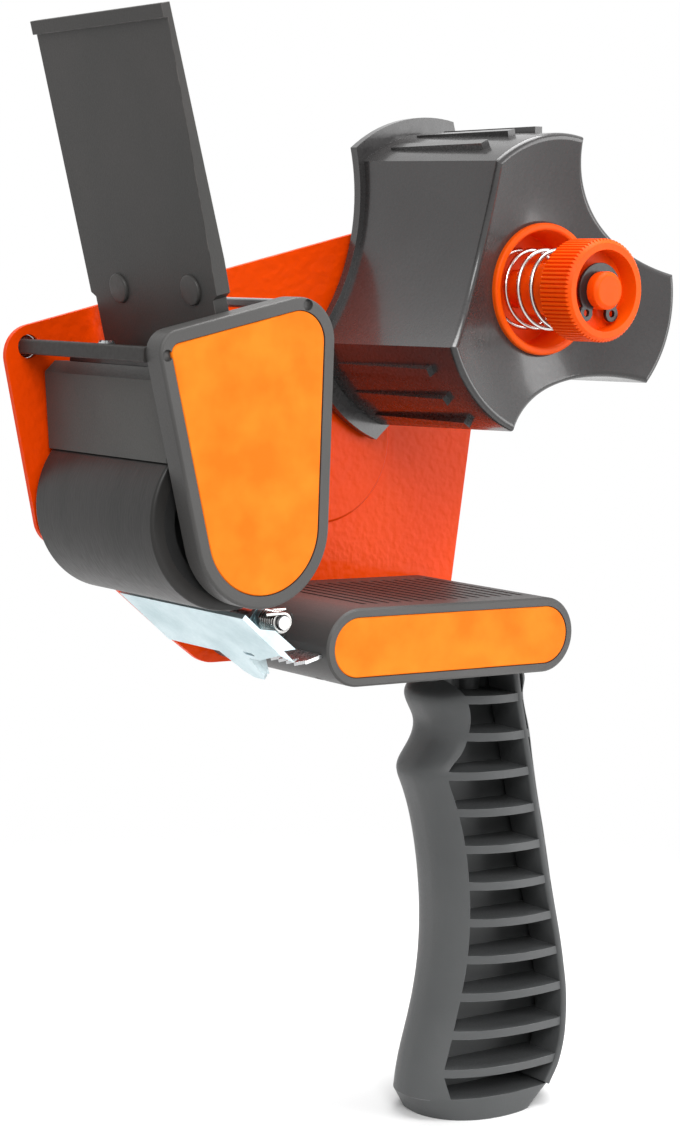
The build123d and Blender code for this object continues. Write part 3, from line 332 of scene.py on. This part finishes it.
FINISH["steel"] = metal("steel", (0.50, 0.50, 0.51), (0.62, 0.62, 0.63), (0.25, 0.38), 60, 900, 0.00002)
FINISH["light_bar"] = metal("light_bar", (0.42, 0.43, 0.44), (0.5, 0.51, 0.52), (0.4, 0.5), 40, 900, 0.00002)
FINISH["zinc_screw"] = metal("zinc_screw", (0.42, 0.44, 0.46), (0.54, 0.56, 0.57), (0.25, 0.38), 150, 1400, 0.00002)
FINISH["zinc_sheet"] = metal("zinc_sheet", (0.47, 0.59, 0.62), (0.60, 0.71, 0.74), (0.40, 0.55), 90, 1300, 0.00002)
FINISH["spring_steel"] = metal("spring_steel", (0.56, 0.55, 0.53), (0.68, 0.67, 0.65), (0.16, 0.22), 300, 800, 0.000002)
FINISH["blade_steel"] = metal(
    "blade_steel", (0.55, 0.56, 0.57), (0.66, 0.67, 0.68), (0.2, 0.32), 80, 700, 0.00002, stretch=(1, 8, 1))

# %% [markdown]
# The roller is a rubber sleeve, ground round on a lathe. Fine grooves of the grinding run
# round it, so the noise is stretched along its axis and left short around it.

# %% Rubber finish
rubber, rubber_tree, rubber_shader = material("roller_rubber")
tone(rubber_tree, rubber_shader, (0.020, 0.019, 0.018), (0.028, 0.026, 0.025), 30.0, stretch=(1, 6, 1))
grain(rubber_tree, rubber_shader, 350, 0.00003, stretch=(1, 5, 1), rough=(0.34, 0.44))
rubber_shader.inputs["Specular IOR Level"].default_value = 0.3
FINISH["roller_rubber"] = rubber
print("finishes:", sorted(FINISH))

# %% [markdown]
# Dressing the solids. A CAD mesh is loose triangles with knife-sharp edges, and no real
# edge is that sharp. Its own vertices must stay as they are, so three modifiers do the
# work: Weld joins the triangles, Bevel rounds only the edges that turn by more than a
# given angle, and the shading follows the rounded edge.

# %% Dress every CAD node
SLOT_OF = {part["node"]: part["material_slot"] for part in frame["record"]["subparts"]}
EDGE = {
    "side_plate": 0.35, "body_housing": 0.12, "body_badge": 0.12, "handle_grip": 0.5, "front_cover": 0.4,
    "cover_inlay": 0.12, "front_bar": 0.2, "rear_bar": 0.2, "roller_sleeve": 0.5, "press_block": 0.35,
    "tape_tongue": 0.6, "tape_hub": 0.5, "hub_cup": 0.25, "hub_post": 0.25, "tension_knob": 0.12,
    "circlip": 0.12, "blade_guard": 0.2, "blade": 0.1, "tongue_bracket": 0.2, "thrust_washer": 0.15,
}


COVERED = {                  # pieces with a finish of their own, apart from their slot's
    "cover_screws": FINISH["grey_moulding"],
    "roller_core": FINISH["black_steel"],
    "roller_bushes": FINISH["black_steel"],
    # the zinc bracket gets near-black steel: painted shade for the gap under the front bar
    "tongue_bracket": FINISH["black_steel"],
}
FLAT_ANGLE = 0.25            # triangles that turn by less belong to one flat face


def dress(node, edge_mm, segments=3, angle=28.0):
    """Weld, round and smooth a CAD node with modifiers alone."""
    body = NODES[node]
    for face in body.data.polygons:
        face.use_smooth = True
    weld = body.modifiers.new("join", "WELD")
    weld.merge_threshold = 0.000002
    slot = SLOT_OF[node]
    # the second slot is the lighter twin, a painted highlight for the rounded edges
    if slot in LIT_EDGE_TWIN:
        body.data.materials.append(LIT_EDGE_TWIN[slot])
    if edge_mm:
        flat = body.modifiers.new("flat", "DECIMATE")
        flat.decimate_type = "DISSOLVE"
        flat.angle_limit = radians(FLAT_ANGLE)
        bevel = body.modifiers.new("edge", "BEVEL")
        bevel.width = edge_mm * MM
        bevel.segments = segments
        bevel.limit_method = "ANGLE"
        bevel.angle_limit = radians(angle)
        # the bevel's rounded faces take the lighter twin: a painted highlight along every edge
        bevel.material = 1 if slot in LIT_EDGE_TWIN else -1
        even = body.modifiers.new("even", "WEIGHTED_NORMAL")
        even.weight = 60
    else:
        split = body.modifiers.new("crease", "EDGE_SPLIT")
        split.split_angle = radians(angle)


for node, body in NODES.items():
    body.data.materials.clear()
    body.data.materials.append(COVERED.get(node, FINISH[SLOT_OF[node]]))
    dress(node, EDGE.get(node, 0.0))
print("dressed:", len(NODES))

# %% [markdown]
# The grip is moulded open on both sides: ribs run out from a middle web, and a thin wall
# closes them at the back. The solid's section narrows at the back, so from the side its
# wall falls away from the light. The real wall stands out as far as the ribs do and shows
# as a bright rim. A flat curve follows the back of the grip, its extrusion gives the
# wall's width and its round bevel the rim, and the curve is then made a mesh.

# %% Rear walls of the grip
GRIP_BACK = (                # height and back edge of the grip, in millimetres
    (53.0, 3.0), (46.5, 4.2), (38.0, 6.3), (31.5, 8.0), (27.0, 9.2), (22.5, 10.2),
    (10.8, 13.2), (-3.7, 16.8), (-21.0, 21.6), (-36.5, 23.9), (-48.5, 22.4), (-54.5, 19.2),
)
WALL_HALF = 0.95             # half of the wall's thickness
WALL_INSET = 4.1            # from the back edge to the wall's middle
WALL_NEAR = 3.4              # the wall starts inside the ribs
WALL_OUT = 12.5              # and ends level with them


def grip_wall(name, side):
    """One rear wall, from inside the ribs out to one side of the grip."""
    bpy.ops.object.select_all(action="DESELECT")
    bpy.ops.curve.primitive_bezier_curve_add(location=(0, 0, 0))
    wall = bpy.context.object
    wall.name = name
    shape = wall.data
    shape.dimensions = "2D"
    spline = shape.splines[0]
    spline.bezier_points.add(len(GRIP_BACK) - len(spline.bezier_points))
    for point, (height, back) in zip(spline.bezier_points, GRIP_BACK):
        point.co = ((back - WALL_INSET) * MM, height * MM, 0)
        point.handle_left_type = point.handle_right_type = "AUTO"
    shape.extrude = (WALL_OUT - WALL_NEAR) / 2 * MM
    shape.bevel_depth = WALL_HALF * MM
    shape.bevel_resolution = 4
    shape.resolution_u = 8
    shape.use_fill_caps = True
    wall.rotation_euler = (pi / 2, 0, 0)
    wall.location = (0, side * (WALL_NEAR + WALL_OUT) / 2 * MM, 0)
    bpy.ops.object.convert(target="MESH")
    bpy.ops.object.transform_apply(location=True, rotation=True, scale=True)
    wall = bpy.context.object
    wall.data.materials.clear()
    wall.data.materials.append(FINISH["grip_moulding"])
    for face in wall.data.polygons:
        face.use_smooth = True
    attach(wall, "frame")
    return wall


walls = [grip_wall("grip_wall_near", -1), grip_wall("grip_wall_far", 1)]
print("grip walls:", [len(w.data.polygons) for w in walls])

# %% [markdown]
# Screws. The solids have plain heads, but real ones have a cross recess for the driver.
# Painting a dark cross would be quicker, but it would look wrong from the side. A copy
# of the screws is merged and split into its screws, two crossed bars are cut from each
# head with a Boolean modifier, and the screws are joined.

# %% Screws with a cross recess
def recessed(node, name, axis, arm, width, depth, lift=0.0):
    """Copy of a node's screws with a cross cut into each head; lift raises the head's crown."""
    bpy.ops.object.select_all(action="DESELECT")
    copy = NODES[node].copy()
    copy.data = NODES[node].data.copy()
    copy.modifiers.clear()
    for key in list(copy.keys()):
        del copy[key]
    copy.name = name
    bpy.context.scene.collection.objects.link(copy)
    copy.parent = None
    bpy.context.view_layer.objects.active = copy
    copy.select_set(True)
    bpy.ops.object.mode_set(mode="EDIT")
    bpy.ops.mesh.select_all(action="SELECT")
    bpy.ops.mesh.remove_doubles(threshold=0.000002)
    bpy.ops.mesh.separate(type="LOOSE")
    bpy.ops.object.mode_set(mode="OBJECT")
    screws = list(bpy.context.selected_objects)
    for screw in screws:
        low = Vector([min(v.co[i] for v in screw.data.vertices) for i in range(3)])
        high = Vector([max(v.co[i] for v in screw.data.vertices) for i in range(3)])
        middle = (low + high) / 2
        top = high[axis]
        radius = (high[0] - low[0]) / 2
        if lift:
            for vertex in screw.data.vertices:
                if vertex.co[axis] > top - 0.0001:
                    off = Vector(vertex.co) - middle
                    off[axis] = 0
                    vertex.co[axis] += lift
                    vertex.co -= off * DOME_PULL
            screw.data.update()
        for turn in (0, 1):
            size = [width * MM] * 3
            size[(axis + 1 + turn) % 3] = arm * MM
            size[axis] = 2 * depth * MM
            place = Vector(middle)
            place[axis] = top + lift
            bpy.ops.object.select_all(action="DESELECT")
            bpy.ops.mesh.primitive_cube_add(size=1.0, location=place, scale=size)
            cutter = bpy.context.object
            bpy.context.view_layer.objects.active = screw
            cut = screw.modifiers.new("recess", "BOOLEAN")
            cut.operation = "DIFFERENCE"
            cut.solver = "EXACT"
            cut.object = cutter
            bpy.ops.object.modifier_apply(modifier=cut.name)
            bpy.data.objects.remove(cutter)
        print(" ", node, "screw of radius", round(radius * 1000, 2))
    bpy.ops.object.select_all(action="DESELECT")
    for screw in screws:
        screw.select_set(True)
    bpy.context.view_layer.objects.active = screws[0]
    bpy.ops.object.join()
    made = bpy.context.object
    made.name = name
    round_edges = made.modifiers.new("edge", "BEVEL")
    round_edges.width = 0.08 * MM
    round_edges.segments = 2
    round_edges.limit_method = "ANGLE"
    round_edges.angle_limit = radians(35)
    for face in made.data.polygons:
        face.use_smooth = True
    even = made.modifiers.new("even", "WEIGHTED_NORMAL")
    even.weight = 60
    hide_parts(node)
    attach(made, BODY_OF[node])
    return made


DOME_PULL = 0.35             # a raised crown is this much narrower than its head
BODY_OF = {node: body for body, nodes in frame["record"]["behaviour"]["bodies"].items() for node in nodes}
crossed = [
    recessed("plate_screws", "plate_screw_heads", 1, 3.4, 0.8, 0.9),
    recessed("tongue_screws", "foot_screw_heads", 2, 3.6, 0.9, 1.0, lift=0.0016),
]
print("screws:", [piece.name for piece in crossed])

# %% [markdown]
# The cover hides the screws that hold it to the crossbars under small plugs of its own
# plastic. A short cylinder with a rounded rim is made once for each screw and sits flush
# with the cover's face. Leaving the screw heads bare would be less work, but the real
# face is plain.

# %% Plugs over the cover's screws
PLUG_MARGIN = 0.25 * MM
PLUG_THICK = 1.2 * MM
PLUG_PROUD = 0.04 * MM


def screw_boxes(node):
    """Lowest and highest corner of each screw of a node, from its loose parts."""
    mesh = bmesh.new()
    mesh.from_mesh(NODES[node].data)
    bmesh.ops.remove_doubles(mesh, verts=mesh.verts, dist=0.000002)
    left = set(mesh.verts)
    boxes = []
    while left:
        found = {left.pop()}
        edge = list(found)
        while edge:
            here = edge.pop()
            near = {link.other_vert(here) for link in here.link_edges} - found
            found |= near
            edge += near
        left -= found
        low = Vector([min(v.co[i] for v in found) for i in range(3)])
        high = Vector([max(v.co[i] for v in found) for i in range(3)])
        boxes.append((low, high))
    mesh.free()
    return boxes


def plugs(node, name):
    """One plug over the head of each screw, joined into one piece."""
    made = []
    for low, high in screw_boxes(node):
        radius = (high.x - low.x) / 2 + PLUG_MARGIN
        middle = (low + high) / 2
        bpy.ops.object.select_all(action="DESELECT")
        bpy.ops.mesh.primitive_cylinder_add(
            vertices=48, radius=radius, depth=PLUG_THICK,
            location=(middle.x, low.y + PLUG_THICK / 2 - PLUG_PROUD, middle.z), rotation=(pi / 2, 0, 0))
        plug = bpy.context.object
        rounding = plug.modifiers.new("rim", "BEVEL")
        rounding.width = 0.1 * MM
        rounding.segments = 3
        bpy.ops.object.modifier_apply(modifier=rounding.name)
        made.append(plug)
    bpy.ops.object.select_all(action="DESELECT")
    for plug in made:
        plug.select_set(True)
    bpy.context.view_layer.objects.active = made[0]
    bpy.ops.object.join()
    bpy.ops.object.transform_apply(location=True, rotation=True, scale=True)
    piece = bpy.context.object
    piece.name = name
    piece.data.materials.append(FINISH["grey_moulding"])
    bpy.ops.object.shade_smooth_by_angle(angle=radians(30))
    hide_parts(node)
    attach(piece, BODY_OF[node])
    return piece


cover_plugs = plugs("cover_screws", "cover_plugs")
print("plugs:", len(cover_plugs.data.polygons), "faces")
